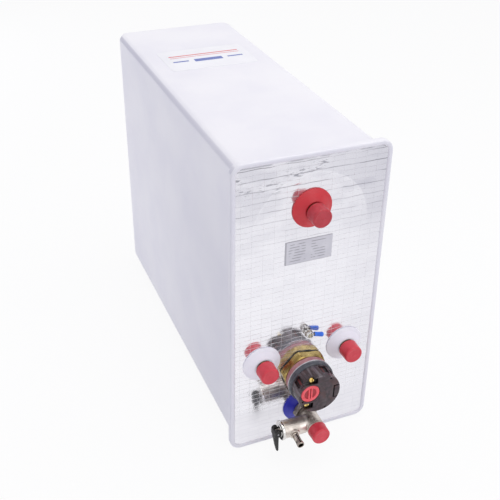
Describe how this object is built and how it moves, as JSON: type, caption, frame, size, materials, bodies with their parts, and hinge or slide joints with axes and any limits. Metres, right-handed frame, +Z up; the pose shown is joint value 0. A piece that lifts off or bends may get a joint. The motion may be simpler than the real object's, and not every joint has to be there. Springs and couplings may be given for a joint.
{
  "type": "caravan water heater",
  "caption": "Boxed storage water heater with a foil-faced front, capped pipe threads, an electric element with a dial thermostat and a lever safety valve.",
  "frame": {"origin": "centre of the bottom of the part's box, level with the flange's lower edge", "axes": "+X to the right as seen from the front, +Y from the front with the fittings to the rear of the casing, +Z up"},
  "size_m": [0.1906, 0.5522, 0.4],
  "materials": {
    "white_casing": "white vacuum-formed plastic with a soft gloss",
    "foil": "wrinkled bright aluminium foil with a thread grid",
    "foam": "pale yellow rigid foam with a matt open skin",
    "tank_steel": "dull rolled stainless steel",
    "brass": "turned brass with a light oxide",
    "red_collar": "red moulded plastic, satin",
    "red_cap": "soft red polythene, slightly translucent",
    "white_collar": "milky white plastic, satin",
    "blue_collar": "dark blue moulded plastic, satin",
    "black_rubber": "black fibre rubber, matt",
    "element_sheath": "annealed dark steel sheath",
    "pink_silicone": "pink silicone rubber, matt",
    "grey_plate": "pale grey plate, satin",
    "phenolic": "black-brown phenolic moulding, semi-matt",
    "terminal_brass": "bright brass",
    "red_dial": "coral red plastic",
    "nickel": "cast brass with satin nickel plating",
    "bright_nickel": "bright nickel plating",
    "chrome": "polished chrome plating",
    "spring_steel": "drawn spring wire",
    "black_plastic": "black glass-filled plastic",
    "white_nylon": "natural nylon",
    "blue_vinyl": "blue vinyl insulation",
    "silver_label": "satin silver foil label",
    "white_label": "white vinyl sticker"
  },
  "bodies": {
    "root": {"outer_casing": "white_casing", "front_panel": "foil", "foam_insulation": "foam", "tank_shell": "tank_steel", "tank_front_end": "tank_steel", "tank_rear_end": "tank_steel", "hot_outlet_stub": "brass", "hot_pickup_elbow": "tank_steel", "hot_collar": "red_collar", "left_coil_stub": "brass", "left_coil_collar": "white_collar", "right_coil_stub": "brass", "right_coil_collar": "white_collar", "heat_exchanger_coil": "tank_steel", "cold_inlet_stub": "brass", "cold_collar": "blue_collar", "cold_diffuser": "tank_steel", "element_boss": "tank_steel", "element_gasket": "black_rubber", "element_head": "brass", "element_loop": "element_sheath", "sensor_pocket": "tank_steel", "thermostat_sensor": "tank_steel", "thermostat_seal": "pink_silicone", "thermostat_base": "grey_plate", "thermostat_body": "phenolic", "terminal_screws": "terminal_brass", "valve_washer": "black_rubber", "valve_body": "nickel", "drain_spout": "bright_nickel", "relief_bonnet": "chrome", "relief_spring": "spring_steel", "check_guide": "white_nylon", "check_spring": "spring_steel", "earth_stud": "terminal_brass", "earth_nuts": "bright_nickel", "earth_ring_terminal": "bright_nickel", "earth_sleeve": "blue_vinyl", "rating_plate": "silver_label", "top_label": "white_label"},
    "dial": {"temperature_dial": "red_dial", "dial_spindle": "tank_steel"},
    "stem": {"relief_stem": "nickel", "relief_seal": "black_rubber", "lever_pin": "spring_steel"},
    "lever": {"relief_lever": "black_plastic"},
    "poppet": {"check_poppet": "white_nylon"},
    "cap_hot": {"hot_cap": "red_cap"},
    "cap_left": {"left_coil_cap": "red_cap"},
    "cap_right": {"right_coil_cap": "red_cap"},
    "cap_valve": {"valve_cap": "red_cap"}
  },
  "joints": [
    {"name": "dial_turn", "type": "hinge", "parent": "root", "child": "dial", "pos_m": [-0.0128, -0.26188, 0.1088], "axis": [0, 1, 0], "range_deg": [-135, 135]},
    {"name": "stem_pull", "type": "slide", "parent": "root", "child": "stem", "axis": [-1, 0, 0], "range_m": [0, 0.002], "stiffness_N_per_m": 4000, "deforming": ["relief_spring"]},
    {"name": "lever_lift", "type": "hinge", "parent": "stem", "child": "lever", "pos_m": [-0.0479, -0.24538, 0.0455], "axis": [0, 1, 0], "range_deg": [0, 90]},
    {"name": "poppet_open", "type": "slide", "parent": "root", "child": "poppet", "axis": [0, 1, 0], "range_m": [0, 0.0025], "stiffness_N_per_m": 120, "deforming": ["check_spring"]},
    {"name": "hot_cap_slide", "type": "slide", "parent": "root", "child": "cap_hot", "axis": [0, -1, 0], "range_m": [0, 0.045]},
    {"name": "left_coil_cap_slide", "type": "slide", "parent": "root", "child": "cap_left", "axis": [0, -1, 0], "range_m": [0, 0.045]},
    {"name": "right_coil_cap_slide", "type": "slide", "parent": "root", "child": "cap_right", "axis": [0, -1, 0], "range_m": [0, 0.045]},
    {"name": "valve_cap_slide", "type": "slide", "parent": "root", "child": "cap_valve", "axis": [0, -1, 0], "range_m": [0, 0.045]}
  ],
  "couplings": [
    {"joint": "lever_lift", "follows": "stem_pull", "rad_per_m": 785.4}
  ]
}
